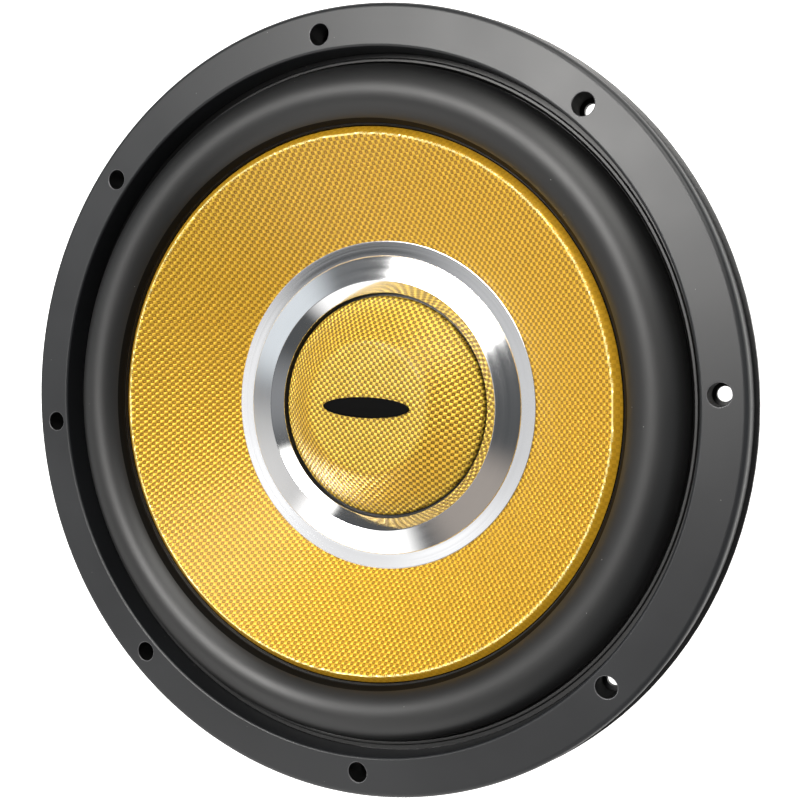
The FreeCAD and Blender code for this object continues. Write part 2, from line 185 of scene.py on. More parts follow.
# One object from (points in mm, faces) patches, welded where they meet, smooth but for edges over sharpAngle.
def meshPiece(name, patches, material, sharpAngle=32, weld=1e-6):
    if isinstance(patches, tuple):
        patches = [patches]
    pts = np.concatenate([p for p, f in patches]) * mm
    loops, sizes, first = [], [], 0
    for p, f in patches:
        loops.append((f + first).ravel())
        sizes.append(np.full(len(f), f.shape[1]))
        first += len(p)
    loops, sizes = np.concatenate(loops), np.concatenate(sizes)
    mesh = bpy.data.meshes.new(name)
    mesh.vertices.add(len(pts))
    mesh.vertices.foreach_set("co", pts.astype(np.float32).ravel())
    mesh.loops.add(len(loops))
    mesh.loops.foreach_set("vertex_index", loops.astype(np.int32))
    mesh.polygons.add(len(sizes))
    mesh.polygons.foreach_set("loop_start", (np.cumsum(sizes) - sizes).astype(np.int32))
    mesh.update(calc_edges=True)
    mesh.validate()
    if weld:
        bm = bmesh.new()
        bm.from_mesh(mesh)
        bmesh.ops.remove_doubles(bm, verts=bm.verts, dist=weld)
        bmesh.ops.dissolve_degenerate(bm, edges=bm.edges, dist=weld)
        bm.to_mesh(mesh)
        bm.free()
    mesh.polygons.foreach_set("use_smooth", np.ones(len(mesh.polygons), bool))
    mesh.set_sharp_from_angle(angle=math.radians(sharpAngle))
    mesh.materials.append(material)
    obj = bpy.data.objects.new(name, mesh)
    bpy.context.scene.collection.objects.link(obj)
    return obj


# The finish a CAD node has in the record.
def slotOf(node):
    return next(p["material_slot"] for p in frame["record"]["subparts"] if p["node"] == node)


# Puts the piece on what it rides on and hides the CAD nodes it stands for; its finish, slot, is not used.
def settle(obj, body, slot, *replaced):
    if body:
        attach(obj, body)
    if replaced:
        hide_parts(*replaced)


# Gives a second material to the faces whose middles (x, y, z in mm) pass a test.
def paintFaces(obj, material, test):
    obj.data.materials.append(material)
    middles = np.zeros(len(obj.data.polygons) * 3, np.float32)
    obj.data.polygons.foreach_get("center", middles)
    chosen = test(*(middles.reshape(-1, 3).T / mm))
    index = np.zeros(len(chosen), np.int32)
    obj.data.polygons.foreach_get("material_index", index)
    index[chosen] = len(obj.data.materials) - 1
    obj.data.polygons.foreach_set("material_index", index)


# Bakes the piece's placement into its mesh and reads its points.
# The inner and outer radii are not used.
def blendRadially(obj, inner, outer):
    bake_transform(obj)
    pts = np.zeros(len(obj.data.vertices) * 3, np.float32)
    obj.data.vertices.foreach_get("co", pts)


cameraSet = {"place": (206.7, 23.9, 393.8), "target": (24.4, -11.5, 13.7), "roll": 0.96,
             "lens": 48.5, "shift": (0.009, 0.052)}


# Looks from its place at its target, both in mm, then turns about its own axis by roll degrees.
def makeCamera():
    data = bpy.data.cameras.new("camera")
    data.lens = cameraSet["lens"]
    data.shift_x, data.shift_y = cameraSet["shift"]
    data.clip_start, data.clip_end = 0.01, 20
    place = Vector(cameraSet["place"]) * mm
    back = (place - Vector(cameraSet["target"]) * mm).normalized()
    right = Vector((0, 1, 0)).cross(back).normalized()
    turn = Matrix((right, back.cross(right), back)).transposed().to_4x4()
    cam = bpy.data.objects.new("camera", data)
    roll = Matrix.Rotation(math.radians(cameraSet["roll"]), 4, "Z")
    cam.matrix_world = Matrix.Translation(place) @ turn @ roll
    bpy.context.scene.collection.objects.link(cam)
    bpy.context.scene.camera = cam


lightSet = {
    # name: direction from the driver, half-angle that is full, half-angle where it ends, brightness, colour
    "key": ((-0.24, 0.27, 0.93), 5, 14, 24.0, (1.0, 0.985, 0.96)),
    "window": ((0.32, 0.68, 0.66), 9, 26, 5.5, (1.0, 0.99, 0.95)),
    "left": ((-0.90, 0.08, 0.42), 18, 42, 0.15, (0.93, 0.97, 1.0)),
    "leftLow": ((-0.85, -0.42, 0.32), 12, 32, 0.7, (1.0, 0.97, 0.93)),
    "upperLeft": ((-0.74, 0.20, 0.64), 4, 14, 0.65, (0.90, 0.96, 1.0)),
    "low": ((-0.50, -0.50, 0.71), 6, 16, 2.0, (1.0, 0.99, 0.97)),
    "lowMiddle": ((-0.10, -0.36, 0.93), 4, 14, 0.32, (1.0, 0.86, 0.74)),
    "bottom": ((-0.25, -0.90, 0.36), 10, 34, 1.4, (1.0, 0.99, 0.97)),
    "strip": ((-0.43, 0.01, 0.90), 2, 6, 0.8, (1.0, 1.0, 1.0)),
    "stripRight": ((-0.52, -0.04, 0.853), 2, 6, 0.55, (1.0, 1.0, 1.0)),
    "stripLeft": ((-0.345, -0.05, 0.937), 1.5, 4.5, 0.9, (1.0, 1.0, 1.0)),
    "right": ((0.90, -0.10, 0.42), 14, 40, 0.22, (0.95, 0.97, 1.0)),
}
ambient = {"brightness": 0.10, "colour": (0.93, 0.97, 1.0), "backdrop": (0.93, 0.93, 0.93)}


# A studio dome: an even grey, and a soft round light in each direction of the list, its edge a smooth step.
def makeLights():
    world = bpy.data.worlds.new("studio")
    world.use_nodes = True
    tree = world.node_tree
    direction = addNode(tree, "TexCoord").outputs["Generated"]
    total = None
    for spec in [None] + list(lightSet.values()):
        colour = addNode(tree, "VectorMath")
        colour.operation = "SCALE"
        if spec is None:
            colour.inputs[0].default_value = ambient["colour"]
            colour.inputs["Scale"].default_value = ambient["brightness"]
            total = colour.outputs[0]
            continue
        towards, full, end, brightness, tint = spec
        dot = addNode(tree, "VectorMath")
        dot.operation = "DOT_PRODUCT"
        wire(tree, direction, dot.inputs[0])
        dot.inputs[1].default_value = Vector(towards).normalized()
        rim, core = math.cos(math.radians(end)), math.cos(math.radians(full))
        glow = mapRange(tree, dot.outputs["Value"], rim, core, 0.0, brightness)
        glow.node.interpolation_type = "SMOOTHSTEP"
        colour.inputs[0].default_value = tint
        wire(tree, glow, colour.inputs["Scale"])
        add = addNode(tree, "VectorMath")
        wire(tree, total, add.inputs[0])
        wire(tree, colour.outputs[0], add.inputs[1])
        total = add.outputs[0]
    seen = addNode(tree, "LightPath").outputs["Is Camera Ray"]
    wire(tree, mixColour(tree, seen, total, ambient["backdrop"]), tree.nodes["Background"].inputs["Color"])
    bpy.context.scene.world = world
    bpy.context.scene.view_settings.view_transform = "Standard"


floorSet = {"size": 6000.0, "gap": 0.05, "colour": (0.93, 0.93, 0.93), "roughness": 0.7, "glow": (0.2, 0.9)}


# A wide pale square just under the driver. Its glow is faint on the driver and strong to the eye.
def makeFloor():
    s = floorSet
    pts = np.array([(-1, -1, 0), (1, -1, 0), (1, 1, 0), (-1, 1, 0)], float) * s["size"]
    pts[:, 2] = cadLow.z / mm - s["gap"]
    pale, tree, shader, _ = newMaterial("paleFloor")
    shader.inputs["Base Color"].default_value = (*s["colour"], 1)
    shader.inputs["Roughness"].default_value = s["roughness"]
    shader.inputs["Emission Color"].default_value = (1, 1, 1, 1)
    seen = addNode(tree, "LightPath").outputs["Is Camera Ray"]
    wire(tree, mapRange(tree, seen, 0.0, 1.0, *s["glow"]), shader.inputs["Emission Strength"])
    under = addNode(tree, "NewGeometry").outputs["Backfacing"]
    wire(tree, mathNode(tree, "SUBTRACT", 1.0, under), shader.inputs["Alpha"])    # clear from below
    floor = meshPiece("floor", (pts, np.array([[0, 1, 2, 3]])), pale)


def addNode(tree, kind):
    return tree.nodes.new("ShaderNode" + kind)


def wire(tree, start, end):
    tree.links.new(start, end)


# A Math node of two inputs, each a socket or a number; returns its output.
def mathNode(tree, operation, a, b=None):
    node = addNode(tree, "Math")
    node.operation = operation
    for socket, value in zip(node.inputs, (a, b)):
        if value is None:
            continue
        if isinstance(value, (int, float)):
            socket.default_value = value
        else:
            wire(tree, value, socket)
    return node.outputs[0]


# Value moved from low..high to toLow..toHigh, clamped.
def mapRange(tree, value, low, high, toLow=0.0, toHigh=1.0):
    node = addNode(tree, "MapRange")
    wire(tree, value, node.inputs["Value"])
    for name, number in (("From Min", low), ("From Max", high), ("To Min", toLow), ("To Max", toHigh)):
        node.inputs[name].default_value = number
    return node.outputs["Result"]


def noiseNode(tree, vector, scale, detail=3.0, roughness=0.55):
    node = addNode(tree, "TexNoise")
    wire(tree, vector, node.inputs["Vector"])
    node.inputs["Scale"].default_value = scale
    node.inputs["Detail"].default_value = detail
    node.inputs["Roughness"].default_value = roughness
    return node.outputs["Fac"]


# Colour between a and b; each is a socket or an (r, g, b).
def mixColour(tree, factor, a, b):
    node = addNode(tree, "Mix")
    node.data_type = "RGBA"
    for socket, value in ((node.inputs[0], factor), (node.inputs[6], a), (node.inputs[7], b)):
        if isinstance(value, tuple):
            socket.default_value = (*value, 1)
        elif isinstance(value, (int, float)):
            socket.default_value = value
        else:
            wire(tree, value, socket)
    return node.outputs[2]


# A material with its shader, and the object's own coordinates.
def newMaterial(name):
    mat = bpy.data.materials.new(name)
    mat.use_nodes = True
    tree = mat.node_tree
    shader = tree.nodes["Principled BSDF"]
    coords = addNode(tree, "TexCoord").outputs["Object"]
    return mat, tree, shader, coords


# A node group with named number, colour or vector inputs and outputs.
def newGroup(name, inputs, outputs):
    tree = bpy.data.node_groups.new(name, "ShaderNodeTree")
    for way, sockets in (("INPUT", inputs), ("OUTPUT", outputs)):
        for label, kind, value in sockets:
            socket = tree.interface.new_socket(label, in_out=way, socket_type="NodeSocket" + kind)
            if value is not None and way == "INPUT":
                socket.default_value = value
    start = tree.nodes.new("NodeGroupInput").outputs
    end = tree.nodes.new("NodeGroupOutput").inputs
    return tree, start, end


# Plain weave on (u, v) = place / pitch. s = sin(pi u) * sin(pi v) is 1 in the middle of each float of the
# threads along v and -1 in the middle of each float of the threads along u. Height is s above zero and
# -Valley * sin(pi * -s) below it, so the floats along u stand lower, with a valley round each.
# Fibre is a fine ripple across whichever thread is on top.
def makeWeaveGroup():
    tree, start, end = newGroup(
        "plainWeave",
        [("Place", "Vector", None), ("Valley", "Float", 0.7), ("Fibres", "Float", 5.0)],
        [("Height", "Float", None), ("Over", "Float", None), ("Fibre", "Float", None)])
    split = addNode(tree, "SeparateXYZ")
    wire(tree, start["Place"], split.inputs[0])
    sinU = mathNode(tree, "SINE", mathNode(tree, "MULTIPLY", split.outputs[0], math.pi))
    sinV = mathNode(tree, "SINE", mathNode(tree, "MULTIPLY", split.outputs[1], math.pi))
    product = mathNode(tree, "MULTIPLY", sinU, sinV)
    above = mathNode(tree, "MAXIMUM", product, 0.0)
    dip = mathNode(tree, "SINE", mathNode(tree, "MULTIPLY", mathNode(tree, "MINIMUM", product, 0.0), math.pi))
    wire(tree, mathNode(tree, "ADD", above, mathNode(tree, "MULTIPLY", dip, start["Valley"])), end["Height"])
    over = mathNode(tree, "GREATER_THAN", product, 0.0)
    wire(tree, over, end["Over"])
    turns = mathNode(tree, "MULTIPLY", start["Fibres"], 2 * math.pi)
    alongV = mathNode(tree, "SINE", mathNode(tree, "MULTIPLY", split.outputs[0], turns))
    alongU = mathNode(tree, "SINE", mathNode(tree, "MULTIPLY", split.outputs[1], turns))
    onV = mathNode(tree, "MULTIPLY", alongV, over)
    onU = mathNode(tree, "MULTIPLY", alongU, mathNode(tree, "SUBTRACT", 1.0, over))
    wire(tree, mathNode(tree, "ADD", onU, onV), end["Fibre"])
    return tree


# Small pale specks: the middle of random cells, kept where a second noise is high.
def makeDustGroup():
    tree, start, end = newGroup(
        "dustSpecks",
        [("Place", "Vector", None), ("Scale", "Float", 220.0), ("Size", "Float", 0.045),
         ("Share", "Float", 0.62)],
        [("Mask", "Float", None)])
    cells = addNode(tree, "TexVoronoi")
    wire(tree, start["Place"], cells.inputs["Vector"])
    wire(tree, start["Scale"], cells.inputs["Scale"])
    near = mathNode(tree, "LESS_THAN", cells.outputs["Distance"], start["Size"])
    pick = addNode(tree, "SeparateColor")
    wire(tree, cells.outputs["Color"], pick.inputs[0])
    chosen = mathNode(tree, "GREATER_THAN", pick.outputs[0], start["Share"])
    wire(tree, mathNode(tree, "MULTIPLY", near, chosen), end["Mask"])
    return tree


# Moulded or sprayed skin: a coarse and a fine noise added, with their own shares.
def makeGrainGroup():
    tree, start, end = newGroup(
        "skinGrain",
        [("Place", "Vector", None), ("Coarse", "Float", 300.0), ("Fine", "Float", 1600.0),
         ("Mix", "Float", 0.4)],
        [("Height", "Float", None), ("Cloud", "Float", None)])
    heights = []
    for name in ("Coarse", "Fine"):
        noise = addNode(tree, "TexNoise")
        wire(tree, start["Place"], noise.inputs["Vector"])
        wire(tree, start[name], noise.inputs["Scale"])
        noise.inputs["Detail"].default_value = 2.0
        heights.append(noise.outputs["Fac"])
    fine = mathNode(tree, "MULTIPLY", heights[1], start["Mix"])
    wire(tree, mathNode(tree, "ADD", heights[0], fine), end["Height"])
    wire(tree, noiseNode(tree, start["Place"], 14.0, 4.0), end["Cloud"])
    return tree


weaveGroup = makeWeaveGroup()
dustGroup = makeDustGroup()
grainGroup = makeGrainGroup()


def addGroup(tree, group, place, **values):
    node = addNode(tree, "Group")
    node.node_tree = group
    wire(tree, place, node.inputs["Place"])
    for name, value in values.items():
        node.inputs[name].default_value = value
    return node.outputs


# A bump of a height socket, in metres, stacked on an earlier one if given.
def addBump(tree, shader, height, distance, strength=1.0, after=None):
    bump = addNode(tree, "Bump")
    bump.inputs["Distance"].default_value = distance
    bump.inputs["Strength"].default_value = strength
    wire(tree, height, bump.inputs["Height"])
    if after is not None:
        wire(tree, after, bump.inputs["Normal"])
    wire(tree, bump.outputs[0], shader.inputs["Normal"])
    return bump.outputs[0]


dustColour = (0.20, 0.20, 0.19)


# Plastic, rubber or paint: cloudy tone and gloss, fine grain, and a few specks of dust.
def makeBlackSkin(name, colour, roughness, spread=0.08, bump=0.00002, dust=0.7, coarse=300.0,
                  dustScale=220.0, specular=0.5):
    mat, tree, shader, coords = newMaterial(name)
    grain = addGroup(tree, grainGroup, coords, Coarse=coarse)
    tone = mapRange(tree, grain["Cloud"], 0.3, 0.7)
    body = mixColour(tree, tone, tuple(c * 0.8 for c in colour), tuple(c * 1.2 for c in colour))
    specks = addGroup(tree, dustGroup, coords, Share=dust, Scale=dustScale)
    wire(tree, mixColour(tree, specks["Mask"], body, dustColour), shader.inputs["Base Color"])
    wire(tree, mapRange(tree, grain["Cloud"], 0.25, 0.75, roughness - spread, roughness + spread),
         shader.inputs["Roughness"])
    shader.inputs["Specular IOR Level"].default_value = specular
    addBump(tree, shader, grain["Height"], bump)
    return mat


goldSet = {
    "metallic": 0.5, "coat": 0.40, "coatRough": 0.30, "roughHigh": 0.30, "roughLow": 0.50,
    # tops of the threads one way and the other, and the gaps between them; the lower threads are darker and
    # the gaps darkest, as painted shade
    "cone": ((0.95, 0.60, 0.050), (0.82, 0.475, 0.030), (0.38, 0.19, 0.010)),
    "skirt": ((0.84, 0.47, 0.026), (0.78, 0.42, 0.020), (0.70, 0.36, 0.016)),
    # the ridge's pale tones are a painted highlight along the cone's fold
    "ridge": ((1.0, 0.86, 0.36), (1.0, 0.82, 0.30), (0.98, 0.76, 0.24)),
    "cap": ((0.98, 0.68, 0.080), (0.78, 0.48, 0.035), (0.20, 0.10, 0.006)),
}


# Gold woven glass fibre under clear resin.
def makeGoldWeave(name, pitch, angle, bump, tones):
    s = goldSet
    high, low, valley = tones
    mat, tree, shader, coords = newMaterial(name)
    mapping = addNode(tree, "Mapping")
    mapping.vector_type = "POINT"
    mapping.inputs["Rotation"].default_value = (0, 0, -math.radians(angle))
    mapping.inputs["Scale"].default_value = (1 / (pitch * mm),) * 3
    wire(tree, coords, mapping.inputs["Vector"])
    weave = addGroup(tree, weaveGroup, mapping.outputs[0], Valley=0.7, Fibres=4.0)
    raised = mapRange(tree, weave["Height"], -0.65, 0.35)
    cloud = mapRange(tree, noiseNode(tree, coords, 9.0, 3.0), 0.35, 0.65)
    # The threads lying lower take the darker tone and the gaps between them the darkest: painted shade in the
    # weave.
    threads = mixColour(tree, weave["Over"], low, high)
    threads = mixColour(tree, cloud, threads, mixColour(tree, 0.25, threads, low))
    wire(tree, mixColour(tree, raised, valley, threads), shader.inputs["Base Color"])
    wire(tree, mapRange(tree, raised, 0.0, 1.0, s["roughLow"], s["roughHigh"]), shader.inputs["Roughness"])
    shader.inputs["Metallic"].default_value = s["metallic"]
    shader.inputs["Coat Weight"].default_value = s["coat"]
    shader.inputs["Coat Roughness"].default_value = s["coatRough"]
    first = addBump(tree, shader, weave["Height"], bump)
    addBump(tree, shader, weave["Fibre"], bump * 0.08, after=first)
    return mat


# Metal with cloudy tone and faint marks; scale stretches the marks along an axis.
def makeMetal(name, colour, roughness, scratch=0.00001, scale=(40.0, 40.0, 40.0), spread=0.05, mottling=0.12):
    mat, tree, shader, coords = newMaterial(name)
    mapping = addNode(tree, "Mapping")
    mapping.inputs["Scale"].default_value = scale
    wire(tree, coords, mapping.inputs["Vector"])
    marks = noiseNode(tree, mapping.outputs[0], 8.0, 5.0)
    cloud = mapRange(tree, noiseNode(tree, coords, 30.0, 4.0), 0.3, 0.7)
    darker = tuple(c * (1 - mottling) for c in colour)
    wire(tree, mixColour(tree, cloud, darker, colour), shader.inputs["Base Color"])
    wire(tree, mapRange(tree, marks, 0.3, 0.7, roughness - spread, roughness + spread),
         shader.inputs["Roughness"])
    shader.inputs["Metallic"].default_value = 1.0
    addBump(tree, shader, marks, scratch)
    return mat


# Metal cut or polished on a lathe: fine rings about the axis, with a little tarnish.
def makeTurnedMetal(name, colour, roughness, lines=900.0, depth=0.000004, mottling=0.06):
    mat, tree, shader, coords = newMaterial(name)
    split = addNode(tree, "SeparateXYZ")
    wire(tree, coords, split.inputs[0])
    square = mathNode(tree, "ADD", mathNode(tree, "POWER", split.outputs[0], 2.0),
                      mathNode(tree, "POWER", split.outputs[1], 2.0))
    radius = mathNode(tree, "SQRT", square)
    join = addNode(tree, "CombineXYZ")
    wire(tree, mathNode(tree, "MULTIPLY", radius, lines), join.inputs[0])
    wire(tree, mathNode(tree, "MULTIPLY", split.outputs[2], lines), join.inputs[1])
    rings = noiseNode(tree, join.outputs[0], 1.0, 3.0)
    cloud = mapRange(tree, noiseNode(tree, coords, 24.0, 4.0), 0.3, 0.7)
    darker = tuple(c * (1 - mottling) for c in colour)
    wire(tree, mixColour(tree, cloud, darker, colour), shader.inputs["Base Color"])
    wire(tree, mapRange(tree, rings, 0.3, 0.7, roughness * 0.7, roughness * 1.4), shader.inputs["Roughness"])
    shader.inputs["Metallic"].default_value = 1.0
    addBump(tree, shader, rings, depth)
    return mat


# Stiffened cotton cloth with a fine plain weave and uneven resin.
def makeCloth(name, light, dark, pitch, bump):
    mat, tree, shader, coords = newMaterial(name)
    mapping = addNode(tree, "Mapping")
    mapping.inputs["Scale"].default_value = (1 / (pitch * mm),) * 3
    wire(tree, coords, mapping.inputs["Vector"])
    weave = addGroup(tree, weaveGroup, mapping.outputs[0], Valley=0.8, Fibres=3.0)
    stain = mapRange(tree, noiseNode(tree, coords, 40.0, 5.0), 0.35, 0.65)
    # Darker where the weave dips and lighter on its tops: painted shade between the threads.
    tone = mixColour(tree, mapRange(tree, weave["Height"], -1.0, 1.0), dark, light)
    wire(tree, mixColour(tree, stain, tone, mixColour(tree, 0.3, tone, dark)), shader.inputs["Base Color"])
    wire(tree, mapRange(tree, stain, 0.0, 1.0, 0.62, 0.85), shader.inputs["Roughness"])
    addBump(tree, shader, weave["Height"], bump)
    return mat


trimPlastic = makeBlackSkin("trimPlastic", (0.0130, 0.0138, 0.0155), 0.38, 0.05, 0.000006, 0.80,
                            dustScale=260.0)
rollRubber = makeBlackSkin("rollRubber", (0.009, 0.009, 0.0092), 0.44, 0.05, 0.000008, 0.85, 500.0,
                           specular=0.58)
bootRubber = makeBlackSkin("bootRubber", (0.012, 0.012, 0.0125), 0.55, 0.08, 0.00003, 0.9, 700.0)
basketPaint = makeBlackSkin("basketPaint", (0.012, 0.012, 0.013), 0.38, 0.07, 0.00005, 0.93, 900.0)
blockPlastic = makeBlackSkin("blockPlastic", (0.02, 0.02, 0.02), 0.35, 0.06, 0.00001, 0.95, 1500.0)
ferriteGrey = makeBlackSkin("ferriteGrey", (0.045, 0.045, 0.05), 0.6, 0.1, 0.00004, 0.8, 800.0)
badgeGloss = makeBlackSkin("badgeGloss", (0.003, 0.003, 0.003), 0.35, 0.03, 0.000001, 0.97, 300.0,
                           specular=0.03)
# Lighter grey plastic for the rounded mouths of the trim ring's holes: a painted highlight.
paintedHoleHighlight = makeBlackSkin("paintedHoleHighlight", (0.10, 0.10, 0.105), 0.3, 0.05, 0.00001, 0.97)
# Near-black matte skin laid where shade falls: painted shade in the trim ring's holes and beside the cone's
# edge.
paintedShade = makeBlackSkin("paintedShade", (0.003, 0.003, 0.003), 0.6, 0.05, 0.00001, 0.97, specular=0.1)
tabRed = makeBlackSkin("tabRed", (0.50, 0.012, 0.010), 0.3, 0.05, 0.000008, 0.97, 1200.0)
tabBlack = makeBlackSkin("tabBlack", (0.02, 0.02, 0.02), 0.3, 0.05, 0.000008, 0.97, 1200.0)
coneGold = makeGoldWeave("coneGold", 1.40, 2.0, 0.00020, goldSet["cone"])
skirtGold = makeGoldWeave("skirtGold", 1.40, 2.0, 0.00004, goldSet["skirt"])
paintedRidgeHighlight = makeGoldWeave("paintedRidgeHighlight", 1.40, 2.0, 0.00008, goldSet["ridge"])
capGold = makeGoldWeave("capGold", 1.39, -8.6, 0.00026, goldSet["cap"])
chromePlate = makeTurnedMetal("chromePlate", (0.86, 0.86, 0.87), 0.09, 700.0, 0.0000025, 0.05)
turnedSteel = makeTurnedMetal("turnedSteel", (0.55, 0.56, 0.55), 0.28, 1200.0, 0.00001, 0.25)
nickelPlate = makeMetal("nickelPlate", (0.72, 0.69, 0.62), 0.2)
springSteel = makeMetal("springSteel", (0.55, 0.55, 0.56), 0.25)
rivetSteel = makeMetal("rivetSteel", (0.60, 0.60, 0.58), 0.32, mottling=0.25)
formerFoil = makeMetal("formerFoil", (0.70, 0.70, 0.68), 0.3)
coilWire = makeTurnedMetal("coilWire", (0.62, 0.27, 0.10), 0.3, 3000.0, 0.00005)
braidTin = makeMetal("braidTin", (0.74, 0.68, 0.58), 0.35)
ventBlack = makeBlackSkin("ventBlack", (0.02, 0.02, 0.02), 0.45)
spiderCloth = makeCloth("spiderCloth", (0.62, 0.43, 0.14), (0.28, 0.15, 0.035), 0.55, 0.00008)
print("materials made")

makeCamera()
makeLights()
makeFloor()
print("camera, lights and floor made")


trimSet = {"outer": 158.2, "inner": 141.5, "foot": 1.8, "face": 13.7, "outerBend": 2.2, "innerBend": 1.0,
           "footBend": 0.5, "under": 2.85, "rebate": 153.4, "boltCircle": 148.2, "bolts": 8, "phase": 4.2,
           "hole": 4.2, "holeBend": 0.3, "edge": 0.1, "steps": 720, "holeSteps": 48}


# Equally spaced points on a circle, the first at an angle of phase degrees.
def boltCentres(count, radius, phase):
    a = np.radians(phase) + np.arange(count) * 2 * np.pi / count
    return np.stack([radius * np.cos(a), radius * np.sin(a)], 1)


# Distance from each (x, y) to the nearest of the centres.
def fromHoles(x, y, centres):
    return np.min([np.hypot(x - c[0], y - c[1]) for c in centres], axis=0)


# The wall of one hole: its section turned about the hole's own centre, rounded where it meets the top face.
def holeWall(centre, radius, low, high, bend):
    mouth = radius + bend + trimSet["edge"]
    section = roundedOutline([(mouth, high), (radius, high, bend), (radius, low)], 5)
    pts, faces = lathePatch(section, trimSet["holeSteps"])
    return pts + np.array([centre[0], centre[1], 0]), faces[:, ::-1]


# A flat ring at one height with round holes in it, facing up or down.
def holedRing(inner, outer, height, centres, hole, steps, up=True):
    loops = [circle(outer, steps), circle(inner, steps)]
    loops += [circle(hole, trimSet["holeSteps"], *c) for c in centres]

    def onFace(x, y):
        r = np.hypot(x, y)
        return (r < outer) & (r > inner) & (fromHoles(x, y, centres) > hole * 0.998)

    flat, tris = flatPatch(loops, onFace)
    return np.column_stack([flat, np.full(len(flat), height)]), tris if up else tris[:, ::-1]


# Moulded ring: its section is turned about the axis, and its faces are flat rings round eight holes.
def makeTrimRing():
    t = trimSet
    centres = boltCentres(t["bolts"], t["boltCircle"], t["phase"])
    edge = t["edge"]
    faceIn, faceOut = t["inner"] + t["innerBend"] + edge, t["outer"] - t["outerBend"] - edge
    inside = roundedOutline([(faceIn, t["face"]), (t["inner"], t["face"], t["innerBend"]),
                             (t["inner"], t["under"]), (t["inner"] + edge, t["under"])], 8)
    outside = roundedOutline([(t["rebate"] - edge, t["under"]), (t["rebate"], t["under"]),
                              (t["rebate"], t["foot"]), (t["outer"], t["foot"], t["footBend"]),
                              (t["outer"], t["face"], t["outerBend"]), (faceOut, t["face"])], 8)
    patches = [lathePatch(inside, t["steps"]), lathePatch(outside, t["steps"])]
    patches += [holeWall(c, t["hole"], t["under"], t["face"], t["holeBend"]) for c in centres]
    mouth = t["hole"] + t["holeBend"]
    patches.append(holedRing(faceIn, faceOut, t["face"], centres, mouth + edge, t["steps"]))
    patches.append(holedRing(t["inner"] + edge, t["rebate"] - edge, t["under"], centres, t["hole"],
                             t["steps"], up=False))
    obj = meshPiece("trimRing", patches, trimPlastic, weld=2e-6)
    wall, top = t["hole"] * 1.02, t["face"] - t["holeBend"]
    # The hole walls take the near-black skin: painted shade.
    paintFaces(obj, paintedShade, lambda x, y, z: (fromHoles(x, y, centres) < wall) & (z < top))
    # The rounded mouth of each hole takes the lighter plastic: a painted highlight.
    paintFaces(obj, paintedHoleHighlight, lambda x, y, z: (fromHoles(x, y, centres) < mouth) & (z > top))
    settle(obj, "frame", "trim_plastic", "trim_ring")


rollSet = {"centre": 125.3, "radius": 12.0, "level": 2.8, "thickness": 1.0, "landing": 141.3, "steps": 560,
           # raised bead, as steps out and up from its place, and the dip between it and the roll
           "bead": 138.6, "beadShape": [(1.0, 0), (0.6, 0.8), (-0.5, 0.8), (-0.9, -0.3)], "beadBend": 0.3,
           "dip": (0.1, 0.9),
           # lip that goes down and under the cone's edge, and the flat backs beside the roll
           "lip": [(113.95, 7.0), (113.9, 4.2, 0.15), (113.75, 5.5, 0.12), (113.4, 5.5, 0.12),
                   (113.25, 3.3, 0.1), (108.5, 3.3)],
           "lipBack": [(108.5, 2.4), (114.2, 2.4)], "landingBack": (136.3, 1.85),
           # painted shade beside the cone, in the gap at its edge: outer radius, lowest point, and where the
           # lip stays bare
           "shadeOut": 115.6, "shadeLow": 2.9, "lipTop": (113.9, 5.2), "blend": (113.2, 137.2)}


# Half roll: an arc of the roll's radius about its centre, a landing with a raised bead outside it, and a lip
# that dips under the cone's edge inside it. The underside is the same arc, one thickness smaller.
def makeSurround():
    s = rollSet
    level, valley = s["level"], s["centre"] + s["radius"]
    bead = [(s["bead"] + out, level + up, s["beadBend"]) for out, up in s["beadShape"]]
    dip = valley + s["dip"][0], level - s["dip"][1]
    outside = roundedOutline([(s["landing"], level)] + bead + [dip], 4)
    a = np.linspace(-0.12, np.pi - 0.36, 49)
    roll = np.stack([s["centre"] + s["radius"] * np.cos(a), level + s["radius"] * np.sin(a)], 1)
    lip = roundedOutline(s["lip"], 4)
    b = np.linspace(np.pi - 0.05, 0.05, 33)
    inner = s["radius"] - s["thickness"]
    under = np.stack([s["centre"] + inner * np.cos(b), level + inner * np.sin(b)], 1)
    foot = np.array([s["landingBack"], (s["landing"], s["landingBack"][1])])
    section = np.concatenate([outside, roll, lip, s["lipBack"], under, foot])
    obj = meshPiece("surroundRoll", turnedPatch(section, s["steps"]), rollRubber)
    lipR, lipH = s["lipTop"]

    def inPaintedShade(x, y, z):
        r = np.hypot(x, y)
        return (r < s["shadeOut"]) & (z > s["shadeLow"]) & ((z < lipH) | (r > lipR))

    # The roll's inner edge next to the cone takes the near-black skin: painted shade in the gap.
    paintFaces(obj, paintedShade, inPaintedShade)
    blendRadially(obj, *s["blend"])
    settle(obj, None, "surround_rubber", "surround")


coneSet = {"lip": (112.9, 5.2), "ridge": (109.8, 8.1), "neck": (32.7, -53.6), "collar": 4, "thickness": 1.2,
           "bend": 1.5, "ridgeBend": 0.6, "pitch": 1.40, "angle": 2.0, "relief": 0.12, "weaveFrom": 66.0,
           "weaveTo": 109.4, "ridgeTo": 110.1, "ridgeLow": 7.0, "steps": 720}
capSet = {"edge": (47.6, -25.7), "edgeRise": 0.25, "edgeDrop": 0.8, "edgeBend": 0.4,
          "plateau": (28.4, -10.5), "crown": 0.25, "bend": 5.0, "skirt": -28.0, "thickness": 0.7,
          "liningEdge": 1.0, "lining": (0.5, 1.2),
          "pitch": 1.39, "angle": -8.6, "relief": 0.15, "weaveTo": 47.1, "steps": 360}
weaveSet = {"gap": 0.35, "fade": 0.6, "steepest": 3}    # clear of the edges, width of the fade, slope limit


